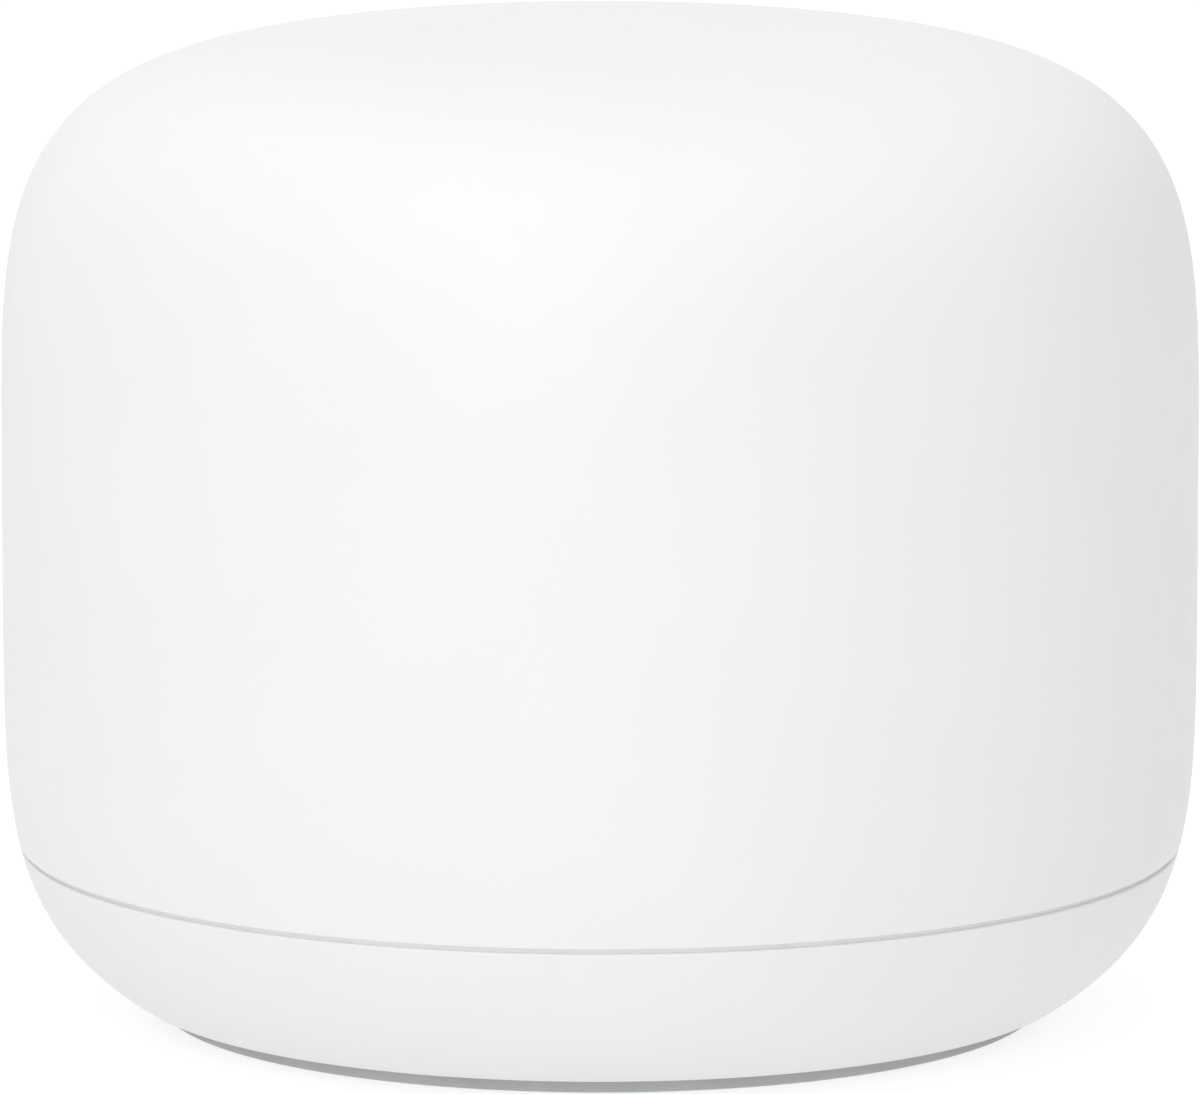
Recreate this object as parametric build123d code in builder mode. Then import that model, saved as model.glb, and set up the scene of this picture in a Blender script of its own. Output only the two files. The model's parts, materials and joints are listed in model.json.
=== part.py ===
"""Round wireless router: a tall domed cover on a shallow tray, with the electronics inside.

Millimetres, +Z up. The origin is on the table under the centre, and the ports face +Y.
"""

import math
import os

from build123d import *

os.makedirs("parts", exist_ok=True)

# Overall shape
BODY_RADIUS = 55.0
BODY_HEIGHT = 90.4
BELLY_Z = 48.0  # the widest ring
DOME_POWER = 4.35  # superellipse above the belly
BOWL_REACH = 54.85  # depth of the curve below the belly, part of which is cut off flat
BOWL_POWER = 5.7
WALL = 2.4
SEAM_Z = 15.45
SEAM_GAP = 0.42
SEAM_DEPTH = 0.38  # the groove that shows between cover and tray
RIM_ROUND = 0.22

# Foot and tray
FOOT_RADIUS = 40.7
FOOT_THICKNESS = 2.0
FOOT_PROUD = 1.45
FOOT_ROUND = 0.35
TRAY_CORNER_ROUND = 1.5
TAPE_THICKNESS = 0.15
TAPE_MARGIN = 1.0
FLOOR_TOP_Z = 4.2
TONGUE_OUTER = 50.7
TONGUE_WALL = 1.4
TONGUE_TOP_Z = 18.8
SNAP_Z = 17.6
SNAP_BEAD = 0.5

# Port alcove in the tray, open to the rear and below
ALCOVE_HALF_WIDTH = 26.0
ALCOVE_FRONT_Y = 21.0
ALCOVE_CEILING_Z = 13.5
ALCOVE_WALL = 1.8
ALCOVE_ROOF = 1.6
ALCOVE_CORNER = 3.0

# Main board and what stands on it
BOARD_RADIUS = 41.2
BOARD_Z = 15.8
BOARD_THICKNESS = 1.6
BOARD_TOP_Z = BOARD_Z + BOARD_THICKNESS
LEG_POINTS = [(33.0, 15.5), (-33.0, 15.5), (24.0, -25.0), (-24.0, -25.0)]
LEG_RADIUS = 3.2
LEG_HOLE_RADIUS = LEG_RADIUS + 0.5
STANDOFF_POINTS = [(37.3, 0.0), (-37.3, 0.0), (7.0, -36.6), (-12.0, 35.2)]
STANDOFF_RADIUS = 2.4

# Heat sink
SINK_RADIUS = 41.5
SINK_BASE_Z = 21.0
SINK_TOP_Z = 25.0
FIN_TOP_Z = 44.0
FIN_FIELD_RADIUS = 33.0
FIN_PITCH = 5.0
FIN_THICKNESS = 1.4
FIN_COUNT = 13
CORNER_ANGLE = 45.0  # first of four ears, cover bosses and carrier posts
EAR_RING = 44.5
EAR_RADIUS = 3.5
POST_RING = 37.5
POST_RADIUS = 3.2
POST_TOP_Z = 47.0
COVER_BOSS_HEIGHT = 19.0

# Antenna carrier
CARRIER_OUTER = 43.2
CARRIER_WALL = 1.8
CARRIER_TOP_Z = 76.0
CARRIER_PLATE = 1.6
PAD_FACE = 44.2  # distance of the antennas' back faces from the axis
ANTENNA_BASE_Z = 50.5

# Status light
LIGHT_Z = 56.0
LIGHT_PIPE_RADIUS = 1.5
LIGHT_SKIN = 0.8  # cover wall left in front of the light pipe

# Fasteners
SCREW_CLEARANCE = 1.5
SCREW_PILOT = 1.15
SCREW_SHANK = 1.1
SCREW_HEAD = 2.3
SCREW_HEAD_HEIGHT = 1.6
COUNTERBORE_RADIUS = 2.7
COUNTERBORE_TOP_Z = 9.8
TRAY_BOSS_RADIUS = 3.6

# Sockets under the board, mouths towards +Y
MOUTH_Y = ALCOVE_FRONT_Y - ALCOVE_WALL - 0.1
JACK_WIDTH = 15.6
JACK_HEIGHT = 11.4
JACK_DEPTH = 15.2
JACK_SHEET = 0.3
JACK_CENTRES = {"wan": 2.7, "lan": -14.7}
PLUG_WIDTH = 11.9
PLUG_Z = (6.5, 13.3)
LATCH_WIDTH = 6.2
LATCH_Z = 5.0
CONTACT_PITCH = 1.02
CONTACT_WIRE = 0.35
POWER_X = 17.8
POWER_Z = 9.6
POWER_WIDTH = 9.4
POWER_HEIGHT = 11.0
POWER_DEPTH = 14.0
POWER_BORE = 2.9
POWER_BORE_DEPTH = 9.5
POWER_PIN_RADIUS = 1.0
POWER_PIN_LENGTH = 8.5

# Reset button and its switch
RESET_Y = -12.0
BUTTON_RADIUS = 3.2
BUTTON_FACE_Z = 0.9
BUTTON_TRAVEL = 0.5
BUTTON_FLANGE_Z = 6.25
BUTTON_TOP_Z = 11.45
SWITCH_HEIGHT = 3.5
PLUNGER_RADIUS = 1.75
PLUNGER_FACE_Z = 11.5

# Coaxial antenna leads
COAX_DIAMETER = 1.13
SOCKET_RING = 33.5
COAX_Z = BOARD_TOP_Z + 1.5
COAX_RING = PAD_FACE + 0.8 + COAX_DIAMETER / 2 + 0.1
COAX_BEND = 6.0


# ---------------------------------------------------------------- helpers


def save(builder, label):
    """Labels a finished sub-part and writes its STEP file."""
    builder.part.label = label
    export_step(builder.part, f"parts/{label}.step")


def block(low, high, mode=Mode.ADD):
    """A box between two corners, in the part being built."""
    size = [b - a for a, b in zip(low, high)]
    middle = [(a + b) / 2 for a, b in zip(low, high)]
    with Locations(tuple(middle)):
        Box(*size, mode=mode)


def rod(points, radius, low_z, high_z, mode=Mode.ADD):
    """Upright round bars, or holes, at points given in plan."""
    with Locations(*[(x, y, (low_z + high_z) / 2) for x, y in points]):
        Cylinder(radius, high_z - low_z, mode=mode)


def ring_points(radius, angles):
    """Plan points on a circle, from angles in degrees."""
    turns = [math.radians(angle) for angle in angles]
    return [(radius * math.cos(turn), radius * math.sin(turn)) for turn in turns]


CORNERS = [CORNER_ANGLE + 90 * k for k in range(4)]
POST_POINTS = ring_points(POST_RING, CORNERS)
EAR_POINTS = ring_points(EAR_RING, CORNERS)


def bowl_radius(z, inset=0.0):
    """Radius of the body below the belly, moved inwards by inset."""
    share = (BELLY_Z - z) / (BOWL_REACH - inset)
    return (BODY_RADIUS - inset) * math.sqrt(1 - share**BOWL_POWER)


def bowl_slope(z, inset=0.0):
    """Change of bowl_radius for each millimetre of height."""
    reach = BOWL_REACH - inset
    share = (BELLY_Z - z) / reach
    steepness = BOWL_POWER * share ** (BOWL_POWER - 1) / (2 * reach)
    return (BODY_RADIUS - inset) * steepness / math.sqrt(1 - share**BOWL_POWER)


def bowl_curve(end_z, inset=0.0, count=8):
    """The lower outline, from the belly down to end_z."""
    heights = [BELLY_Z + (end_z - BELLY_Z) * k / (count - 1) for k in range(count)]
    points = [(bowl_radius(z, inset), z) for z in heights]
    return Spline(*points, tangents=[(0, -1), (-bowl_slope(end_z, inset), -1)])


def dome_curve(inset=0.0, count=13):
    """The upper outline, a superellipse from the apex down to the belly."""
    width = BODY_RADIUS - inset
    height = BODY_HEIGHT - BELLY_Z - inset
    points = [(0, BELLY_Z + height)]
    for k in range(1, count):
        turn = math.pi / 2 * (1 - k / (count - 1))
        across, up = math.cos(turn), math.sin(turn)
        reach = (across**DOME_POWER + up**DOME_POWER) ** (-1 / DOME_POWER)
        points.append((width * across * reach, BELLY_Z + height * up * reach))
    return Spline(*points, tangents=[(1, 0), (0, -1)])


def filled_body(inset, low_z):
    """The body's outline filled to the axis, down to low_z, as a part to cut others with."""
    with BuildPart() as filled:
        with BuildSketch(Plane.XZ):
            with BuildLine():
                dome = dome_curve(inset)
                bowl = bowl_curve(low_z, inset)
                Polyline(bowl @ 1, (0, low_z), dome @ 0)
            make_face()
        revolve(axis=Axis.Z)
    return filled.part


def screws(points, seat_z, length, upwards):
    """Pan-head screws whose heads bear on seat_z."""
    way = 1 if upwards else -1
    with BuildPart() as made:
        rod(points, SCREW_SHANK, min(seat_z, seat_z + way * length), max(seat_z, seat_z + way * length))
        head_end = seat_z - way * SCREW_HEAD_HEIGHT
        rod(points, SCREW_HEAD, min(seat_z, head_end), max(seat_z, head_end))
        rims = made.edges().filter_by(GeomType.CIRCLE).group_by(Axis.Z)[0 if upwards else -1]
        fillet(rims, SCREW_HEAD_HEIGHT * 0.4)
        with BuildSketch(Plane.XY.offset(head_end)):
            with Locations(*points):
                Rectangle(SCREW_HEAD * 1.1, SCREW_HEAD * 0.28)
                Rectangle(SCREW_HEAD * 0.28, SCREW_HEAD * 1.1)
        extrude(amount=way * SCREW_HEAD_HEIGHT * 0.6, mode=Mode.SUBTRACT)
    return made


# ---------------------------------------------------------------- cover

COVER_RIM_Z = SEAM_Z + SEAM_GAP / 2

with BuildPart() as cover_bosses:
    with BuildSketch(Plane.XY.offset(SINK_TOP_Z)):
        with PolarLocations(EAR_RING, 4, start_angle=CORNER_ANGLE):
            Circle(3.2)
            with Locations((WALL * 2, 0)):
                Rectangle(WALL * 4, 1.4)
    extrude(amount=COVER_BOSS_HEIGHT)
    with BuildSketch(Plane.XZ.offset(47.4)):
        with Locations((0, LIGHT_Z)):
            Circle(LIGHT_PIPE_RADIUS + 1.6)
    extrude(amount=WALL * 3)
    add(filled_body(WALL / 2, COVER_RIM_Z), mode=Mode.INTERSECT)

with BuildPart() as top_cover:
    with BuildSketch(Plane.XZ):
        with BuildLine():
            outer_dome = dome_curve()
            outer_bowl = bowl_curve(COVER_RIM_Z)
            inner_dome = dome_curve(WALL)
            inner_bowl = bowl_curve(COVER_RIM_Z, WALL)
            Line(outer_bowl @ 1, inner_bowl @ 1)
            Line(inner_dome @ 0, outer_dome @ 0)
        make_face()
    revolve(axis=Axis.Z)
    rim_circles = top_cover.edges().filter_by(GeomType.CIRCLE).group_by(Axis.Z)[0]
    fillet(rim_circles.sort_by(SortBy.LENGTH)[-1], RIM_ROUND)
    with BuildSketch(Plane.XZ):
        with Locations((bowl_radius(SNAP_Z, WALL), SNAP_Z)):
            Rectangle(2 * SNAP_BEAD + 0.2, SNAP_BEAD * 3)
    revolve(axis=Axis.Z, mode=Mode.SUBTRACT)
    add(cover_bosses.part)
    rod(EAR_POINTS, SCREW_PILOT, SINK_TOP_Z, SINK_TOP_Z + 11, Mode.SUBTRACT)
    with BuildSketch(Plane.XZ.offset(47.0)):
        with Locations((0, LIGHT_Z)):
            Circle(LIGHT_PIPE_RADIUS + 0.05)
    extrude(amount=BODY_RADIUS - LIGHT_SKIN - 47.0, mode=Mode.SUBTRACT)
save(top_cover, "top_cover")

# ---------------------------------------------------------------- tray

TRAY_RIM_Z = SEAM_Z - SEAM_GAP / 2
GROOVE_RADIUS = bowl_radius(TRAY_RIM_Z) - SEAM_DEPTH
TONGUE_ROOT_Z = TRAY_RIM_Z - 2.0
TONGUE_INNER = TONGUE_OUTER - TONGUE_WALL
TAPE_TOP_Z = FOOT_THICKNESS + TAPE_THICKNESS
COLLAR_TOP_Z = BUTTON_FLANGE_Z - 0.05

with BuildPart() as tray_envelope:
    with BuildSketch(Plane.XZ):
        with BuildLine():
            side = bowl_curve(FOOT_PROUD, 0.4)
            Polyline(side @ 1, (0, FOOT_PROUD), (0, BELLY_Z), side @ 0)
        make_face()
    revolve(axis=Axis.Z)

with BuildPart() as alcove_liner:
    depth = BODY_RADIUS
    with BuildSketch(Plane.XY.offset(TAPE_TOP_Z)):
        with Locations((0, ALCOVE_FRONT_Y - ALCOVE_WALL + depth / 2)):
            RectangleRounded(2 * (ALCOVE_HALF_WIDTH + ALCOVE_WALL), depth, ALCOVE_CORNER + ALCOVE_WALL)
    extrude(amount=ALCOVE_CEILING_Z + ALCOVE_ROOF - TAPE_TOP_Z)
    add(tray_envelope.part, mode=Mode.INTERSECT)

with BuildPart() as base_tray:
    with BuildSketch(Plane.XZ):
        with BuildLine():
            heights = [TRAY_RIM_Z + (FOOT_PROUD - TRAY_RIM_Z) * k / 6 for k in range(7)]
            outer = Spline(
                *[(bowl_radius(z), z) for z in heights],
                tangents=[(-bowl_slope(TRAY_RIM_Z), -1), (-bowl_slope(FOOT_PROUD), -1)],
            )
            inner_heights = [FLOOR_TOP_Z + (TONGUE_ROOT_Z - FLOOR_TOP_Z) * k / 5 for k in range(6)]
            inner = Spline(*[(bowl_radius(z, WALL), z) for z in inner_heights])
            Polyline(outer @ 1, (0, FOOT_PROUD), (0, FLOOR_TOP_Z), inner @ 0)
            Polyline(
                inner @ 1,
                (TONGUE_INNER, TRAY_RIM_Z - 1.0),
                (TONGUE_INNER, TONGUE_TOP_Z),
                (TONGUE_OUTER, TONGUE_TOP_Z),
                (TONGUE_OUTER, SNAP_Z + SNAP_BEAD),
                (TONGUE_OUTER + SNAP_BEAD, SNAP_Z),
                (TONGUE_OUTER, SNAP_Z - SNAP_BEAD),
                (TONGUE_OUTER, COVER_RIM_Z),
                (GROOVE_RADIUS, COVER_RIM_Z),
                (GROOVE_RADIUS, TRAY_RIM_Z),
                outer @ 0,
            )
        make_face()
    revolve(axis=Axis.Z)
    circles = base_tray.edges().filter_by(GeomType.CIRCLE)
    rim_circles = circles.filter_by_position(Axis.Z, TRAY_RIM_Z - 0.01, TRAY_RIM_Z + 0.01)
    fillet(rim_circles.sort_by(SortBy.LENGTH)[-1], RIM_ROUND)
    fillet(circles.group_by(Axis.Z)[0].sort_by(SortBy.LENGTH)[-1], TRAY_CORNER_ROUND)
    rod([(0, 0)], FOOT_RADIUS + 0.15, FOOT_PROUD, TAPE_TOP_Z, Mode.SUBTRACT)
    add(alcove_liner.part)
    with BuildSketch(Plane.XY.offset(-1)):
        with Locations((0, ALCOVE_FRONT_Y + BODY_RADIUS / 2)):
            RectangleRounded(2 * ALCOVE_HALF_WIDTH, BODY_RADIUS, ALCOVE_CORNER)
    extrude(amount=ALCOVE_CEILING_Z + 1, mode=Mode.SUBTRACT)
    for centre in JACK_CENTRES.values():
        half, latch = PLUG_WIDTH / 2 + 0.2, LATCH_WIDTH / 2 + 0.2
        front, back = ALCOVE_FRONT_Y - ALCOVE_WALL - 1, ALCOVE_FRONT_Y + 1
        block((centre - half, front, PLUG_Z[0] - 0.2), (centre + half, back, PLUG_Z[1]), Mode.SUBTRACT)
        block((centre - latch, front, LATCH_Z - 0.2), (centre + latch, back, PLUG_Z[0]), Mode.SUBTRACT)
    with BuildSketch(Plane.XZ.offset(-ALCOVE_FRONT_Y - 1)):
        with Locations((POWER_X, POWER_Z)):
            Circle(POWER_BORE + 0.7)
    extrude(amount=ALCOVE_WALL + 2, mode=Mode.SUBTRACT)
    rod(LEG_POINTS, TRAY_BOSS_RADIUS, TAPE_TOP_Z, BOARD_Z - 0.1)
    rod(LEG_POINTS, COUNTERBORE_RADIUS, FOOT_PROUD - 1, COUNTERBORE_TOP_Z, Mode.SUBTRACT)
    rod(LEG_POINTS, SCREW_CLEARANCE, FOOT_PROUD, BOARD_Z, Mode.SUBTRACT)
    with BuildSketch(Plane.XY.offset(FLOOR_TOP_Z - 0.5)):
        with Locations((0, RESET_Y)):
            with PolarLocations(15.5, 8):
                Rectangle(18, 1.2)
            Circle(BUTTON_RADIUS + 2.3)
        with Locations((0, MOUTH_Y - JACK_DEPTH - 1 + BODY_RADIUS)):
            Rectangle(2 * BODY_RADIUS, 2 * BODY_RADIUS, mode=Mode.SUBTRACT)
    extrude(amount=COLLAR_TOP_Z - FLOOR_TOP_Z + 0.5)
    rod([(0, RESET_Y)], BUTTON_RADIUS + 0.3, FOOT_PROUD - 1, COLLAR_TOP_Z + 1, Mode.SUBTRACT)
save(base_tray, "base_tray")

# ---------------------------------------------------------------- foot


def foot_disc(radius, low_z, high_z, edge_round=0.0):
    """A disc with the alcove's notch and the button's hole, its lower edges rounded if asked."""
    with BuildPart() as disc:
        with BuildSketch(Plane.XY.offset(low_z)):
            Circle(radius)
            with Locations((0, ALCOVE_FRONT_Y + BODY_RADIUS / 2)):
                RectangleRounded(2 * ALCOVE_HALF_WIDTH, BODY_RADIUS, ALCOVE_CORNER, mode=Mode.SUBTRACT)
            with Locations((0, RESET_Y)):
                Circle(BUTTON_RADIUS + 1.0, mode=Mode.SUBTRACT)
        extrude(amount=high_z - low_z)
        if edge_round:
            fillet(disc.edges().group_by(Axis.Z)[0], edge_round)
    return disc


save(foot_disc(FOOT_RADIUS, 0, FOOT_THICKNESS, edge_round=FOOT_ROUND), "silicone_foot")

with BuildPart() as foot_tape:
    add(foot_disc(FOOT_RADIUS - TAPE_MARGIN, FOOT_THICKNESS, TAPE_TOP_Z).part)
    rod(LEG_POINTS, COUNTERBORE_RADIUS, FOOT_THICKNESS, TAPE_TOP_Z, Mode.SUBTRACT)
save(foot_tape, "foot_tape")

# ---------------------------------------------------------------- reset button and switch

with BuildPart() as reset_button:
    rod([(0, RESET_Y)], BUTTON_RADIUS, BUTTON_FACE_Z, BUTTON_FLANGE_Z)
    fillet(reset_button.edges().group_by(Axis.Z)[0], 0.5)
    rod([(0, RESET_Y)], BUTTON_RADIUS + 1.5, BUTTON_FLANGE_Z, BUTTON_FLANGE_Z + 1.0)
    rod([(0, RESET_Y)], 1.5, BUTTON_FLANGE_Z, BUTTON_TOP_Z)
    with Locations((0, RESET_Y, BUTTON_FACE_Z - 11.6)):
        Sphere(12.0, mode=Mode.SUBTRACT)
save(reset_button, "reset_button")

with BuildPart() as reset_switch:
    with BuildSketch(Plane.XY.offset(BOARD_Z - SWITCH_HEIGHT)):
        with Locations((0, RESET_Y)):
            RectangleRounded(6.2, 6.2, 0.8)
            Circle(PLUNGER_RADIUS + 0.1, mode=Mode.SUBTRACT)
    extrude(amount=SWITCH_HEIGHT - 1.0)
    with BuildSketch(Plane.XY.offset(BOARD_Z - 1.0)):
        with Locations((0, RESET_Y)):
            RectangleRounded(6.2, 6.2, 0.8)
    extrude(amount=1.0)
    for side in (-1, 1):
        for row in (-1, 1):
            at_x, at_y = side * 3.7, RESET_Y + row * 2.2
            block((at_x - 0.7, at_y - 0.35, BOARD_Z - 0.3), (at_x + 0.7, at_y + 0.35, BOARD_Z))
save(reset_switch, "reset_switch")

with BuildPart() as reset_plunger:
    rod([(0, RESET_Y)], PLUNGER_RADIUS, PLUNGER_FACE_Z, BOARD_Z - 1.0 - BUTTON_TRAVEL - 0.2)
    chamfer(reset_plunger.edges().group_by(Axis.Z)[0], 0.2)
save(reset_plunger, "reset_plunger")

# ---------------------------------------------------------------- main board

ANTENNAS = {  # name: (angle in degrees, width, height)
    "antenna_5ghz_1": (-14.0, 15.0, 21.0),
    "antenna_5ghz_2": (166.0, 15.0, 21.0),
    "antenna_5ghz_3": (248.0, 15.0, 21.0),
    "antenna_5ghz_4": (292.0, 15.0, 21.0),
    "antenna_24ghz_1": (14.0, 18.0, 24.0),
    "antenna_24ghz_2": (194.0, 18.0, 24.0),
    "antenna_mesh_radio": (90.0, 20.0, 12.0),
}
ANTENNA_ANGLES = [angle for angle, _, _ in ANTENNAS.values()]

with BuildPart() as main_board:
    with BuildSketch(Plane.XY.offset(BOARD_Z)):
        Circle(BOARD_RADIUS)
        with Locations(*LEG_POINTS):
            Circle(LEG_HOLE_RADIUS, mode=Mode.SUBTRACT)
        with Locations((0, -BOARD_RADIUS), (0, BOARD_RADIUS)):
            Rectangle(6.0, 2.4, mode=Mode.SUBTRACT)
    extrude(amount=BOARD_THICKNESS)
save(main_board, "main_board")

with BuildPart() as processor:
    block((-8, -4, BOARD_TOP_Z), (8, 12, BOARD_TOP_Z + 0.6))
    block((-6.5, -2.5, BOARD_TOP_Z + 0.6), (6.5, 10.5, BOARD_TOP_Z + 1.4))
save(processor, "processor")

with BuildPart() as memory_chips:
    for side in (-1, 1):
        block((side * 15 - 4, -2, BOARD_TOP_Z), (side * 15 + 4, 10, BOARD_TOP_Z + 1.0))
save(memory_chips, "memory_chips")

with BuildPart() as flash_chip:
    block((-31, -15, BOARD_TOP_Z), (-25, -7, BOARD_TOP_Z + 0.9))
save(flash_chip, "flash_chip")

RADIO_CHIPS = [(-6.5, -21.5, 8.0), (6.5, -21.5, 8.0), (19.0, 26.0, 7.0)]  # x, y, side

with BuildPart() as radio_chips:
    for x, y, side in RADIO_CHIPS:
        block((x - side / 2, y - side / 2, BOARD_TOP_Z), (x + side / 2, y + side / 2, BOARD_TOP_Z + 0.9))
save(radio_chips, "radio_chips")

with BuildPart() as power_inductors:
    with BuildSketch(Plane.XY.offset(BOARD_TOP_Z)):
        with Locations((28, 0.5), (28, -15), (-28, 1.5)):
            RectangleRounded(6.0, 6.0, 0.9)
    extrude(amount=2.8)
    fillet(power_inductors.edges().group_by(Axis.Z)[-1], 0.3)
save(power_inductors, "power_inductors")

CAPACITOR_POINTS = [(21.0, -14.0), (17.0, -17.5), (-20.0, -14.5), (-26.5, 8.0)]

with BuildPart() as power_capacitors:
    rod(CAPACITOR_POINTS, 1.6, BOARD_TOP_Z, BOARD_TOP_Z + 3.2)
    fillet(power_capacitors.edges().group_by(Axis.Z)[-1], 0.25)
save(power_capacitors, "power_capacitors")

with BuildPart() as clock_crystals:
    for x, y in [(-24.5, -19.0), (26.0, 8.5), (-27.0, 21.0)]:
        block((x - 1.6, y - 1.25, BOARD_TOP_Z), (x + 1.6, y + 1.25, BOARD_TOP_Z + 0.8))
save(clock_crystals, "clock_crystals")

with BuildPart() as ethernet_transformers:
    for centre in JACK_CENTRES.values():
        block((centre - 5.6, 22.6, BOARD_TOP_Z), (centre + 5.6, 29.4, BOARD_TOP_Z + 2.9))
        for k in range(8):
            pin = centre - 4.2 + 1.2 * k
            block((pin - 0.25, 21.8, BOARD_TOP_Z), (pin + 0.25, 22.6, BOARD_TOP_Z + 0.3))
            block((pin - 0.25, 29.4, BOARD_TOP_Z), (pin + 0.25, 30.2, BOARD_TOP_Z + 0.3))
save(ethernet_transformers, "ethernet_transformers")

# ---------------------------------------------------------------- shields, pads, heat sink

SHIELD_SHEET = 0.25
SHIELD_TOP_Z = BOARD_TOP_Z + 2.4
PEDESTAL_Z = BOARD_TOP_Z + 2.4


def shield_can(x, y, width, depth, opening=None):
    """A drawn sheet can over part of the board, with a window in its top if opening is given."""
    with BuildPart() as can:
        with BuildSketch(Plane.XY.offset(BOARD_TOP_Z)):
            with Locations((x, y)):
                RectangleRounded(width, depth, 1.0)
        extrude(amount=SHIELD_TOP_Z - BOARD_TOP_Z)
        fillet(can.edges().group_by(Axis.Z)[-1], 0.4)
        with BuildSketch(Plane.XY.offset(BOARD_TOP_Z)):
            with Locations((x, y)):
                RectangleRounded(width - 2 * SHIELD_SHEET, depth - 2 * SHIELD_SHEET, 0.8)
        extrude(amount=SHIELD_TOP_Z - BOARD_TOP_Z - SHIELD_SHEET, mode=Mode.SUBTRACT)
        if opening:
            with BuildSketch(Plane.XY.offset(BOARD_TOP_Z)):
                with Locations((x, y)):
                    RectangleRounded(*opening, 1.0)
            extrude(amount=SHIELD_TOP_Z, mode=Mode.SUBTRACT)
    return can


save(shield_can(0, 4, 42, 27, opening=(38, 23)), "processor_shield_frame")
save(shield_can(0, -21.5, 26, 12.5), "radio_shield_5ghz")
save(shield_can(19, 26, 12.5, 9.5), "radio_shield_24ghz")

with BuildPart() as processor_pad:
    block((-6.5, -2.5, BOARD_TOP_Z + 1.4), (6.5, 10.5, PEDESTAL_Z))
save(processor_pad, "processor_thermal_pad")

with BuildPart() as radio_pads:
    block((-11, -26, SHIELD_TOP_Z), (11, -17, SINK_BASE_Z))
    block((14.5, 22.5, SHIELD_TOP_Z), (23.5, 29.5, SINK_BASE_Z))
save(radio_pads, "radio_thermal_pads")

with BuildPart() as heat_sink:
    with BuildSketch(Plane.XY.offset(SINK_BASE_Z)):
        Circle(SINK_RADIUS)
        with Locations(*EAR_POINTS):
            Circle(EAR_RADIUS)
        with PolarLocations(SINK_RADIUS - 2, 4, start_angle=CORNER_ANGLE):
            Rectangle(2 * (EAR_RING - SINK_RADIUS + 2), 2 * EAR_RADIUS)
    extrude(amount=SINK_TOP_Z - SINK_BASE_Z)
    with BuildSketch(Plane.XY.offset(SINK_TOP_Z)):
        with GridLocations(FIN_PITCH, 1, FIN_COUNT, 1):
            Rectangle(FIN_THICKNESS, 2 * BODY_RADIUS)
        Circle(FIN_FIELD_RADIUS, mode=Mode.INTERSECT)
    extrude(amount=FIN_TOP_Z - SINK_TOP_Z)
    block((-10, -6, PEDESTAL_Z), (10, 14, SINK_BASE_Z))
    rod(POST_POINTS, POST_RADIUS, SINK_TOP_Z, POST_TOP_Z)
    rod(LEG_POINTS, LEG_RADIUS, BOARD_Z, SINK_BASE_Z)
    rod(LEG_POINTS, SCREW_PILOT, BOARD_Z, SINK_BASE_Z + 2.5, Mode.SUBTRACT)
    rod(POST_POINTS, SCREW_PILOT, POST_TOP_Z - 9, POST_TOP_Z, Mode.SUBTRACT)
    rod(EAR_POINTS, SCREW_CLEARANCE, SINK_BASE_Z, SINK_TOP_Z, Mode.SUBTRACT)
    rod(STANDOFF_POINTS, SCREW_CLEARANCE, SINK_BASE_Z, SINK_TOP_Z, Mode.SUBTRACT)
save(heat_sink, "heat_sink")

with BuildPart() as board_standoffs:
    with BuildSketch(Plane.XY.offset(BOARD_TOP_Z)):
        with Locations(*STANDOFF_POINTS):
            RegularPolygon(STANDOFF_RADIUS, 6)
            Circle(SCREW_PILOT, mode=Mode.SUBTRACT)
    extrude(amount=SINK_BASE_Z - BOARD_TOP_Z)
save(board_standoffs, "board_standoffs")

# ---------------------------------------------------------------- sockets


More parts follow.
